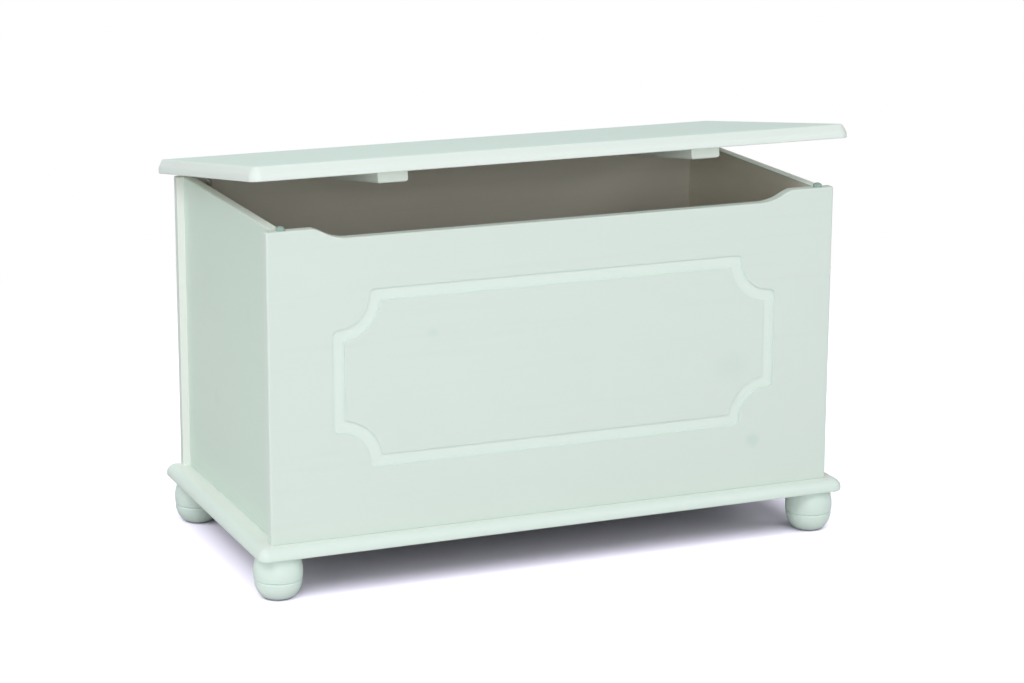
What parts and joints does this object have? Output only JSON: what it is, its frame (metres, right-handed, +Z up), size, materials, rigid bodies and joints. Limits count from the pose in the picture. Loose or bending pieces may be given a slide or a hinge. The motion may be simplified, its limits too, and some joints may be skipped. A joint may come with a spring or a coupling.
{
  "type": "storage trunk",
  "caption": "Painted storage trunk on turned feet, with a routed frame and finger cut-out in the front, a moulded base and a hinged lid on a folding stay.",
  "frame": {"origin": "on the floor, under the middle of the outline with the lid shut", "axes": "+X along the width towards the viewer's right, -Y out of the front, +Z up"},
  "size_m": [0.866, 0.4434, 0.5836],
  "materials": {
    "painted_wood": "semi-gloss white paint with a cool tint",
    "beech": "bare",
    "clear_bumper": "clear soft polymer",
    "zinc_steel": "bright zinc",
    "zinc_alloy": "cast",
    "plated_steel": "nickel plated"
  },
  "bodies": {
    "case": {"base_plate": "painted_wood", "front_panel": "painted_wood", "back_panel": "painted_wood", "left_side_panel": "painted_wood", "right_side_panel": "painted_wood", "front_left_foot": "painted_wood", "front_right_foot": "painted_wood", "back_left_foot": "painted_wood", "back_right_foot": "painted_wood", "foot_studs": "zinc_steel", "foot_inserts": "zinc_alloy", "corner_dowels": "beech", "cam_bolts": "zinc_steel", "cam_locks": "zinc_alloy", "base_screws": "zinc_steel", "bumper_left": "clear_bumper", "bumper_right": "clear_bumper", "hinge_left_lower_leaf": "plated_steel", "hinge_right_lower_leaf": "plated_steel", "hinge_left_pin": "zinc_steel", "hinge_right_pin": "zinc_steel", "hinge_case_screws": "zinc_steel", "stay_case_bracket": "plated_steel", "stay_case_rivet": "zinc_steel", "stay_case_screws": "zinc_steel"},
    "lid": {"lid_board": "painted_wood", "lid_batten_left": "painted_wood", "lid_batten_right": "painted_wood", "batten_screws": "zinc_steel", "hinge_left_upper_leaf": "plated_steel", "hinge_right_upper_leaf": "plated_steel", "hinge_lid_screws": "zinc_steel", "stay_lid_bracket": "plated_steel", "stay_lid_rivet": "zinc_steel", "stay_lid_screws": "zinc_steel"},
    "stay_lower": {"stay_lower_arm": "plated_steel", "stay_knee_rivet": "zinc_steel"},
    "stay_upper": {"stay_upper_arm": "plated_steel"}
  },
  "joints": [
    {"name": "lid_hinge", "type": "hinge", "parent": "case", "child": "lid", "pos_m": [0, 0.2185, 0.4985], "axis": [-1, 0, 0], "range_deg": [-8.25, 76.3]},
    {"name": "stay_lower_pivot", "type": "hinge", "parent": "case", "child": "stay_lower", "pos_m": [-0.3837, 0.18052, 0.43768], "axis": [-1, 0, 0], "range_deg": [-8.25, 76.3]},
    {"name": "stay_knee", "type": "hinge", "parent": "stay_lower", "child": "stay_upper", "pos_m": [-0.3825, 0.10883, 0.43854], "axis": [-1, 0, 0], "range_deg": [-76.3, 8.25]}
  ],
  "couplings": [
    {"joint": "stay_lower_pivot", "follows": "lid_hinge", "ratio": 1},
    {"joint": "stay_knee", "follows": "lid_hinge", "ratio": -1}
  ]
}
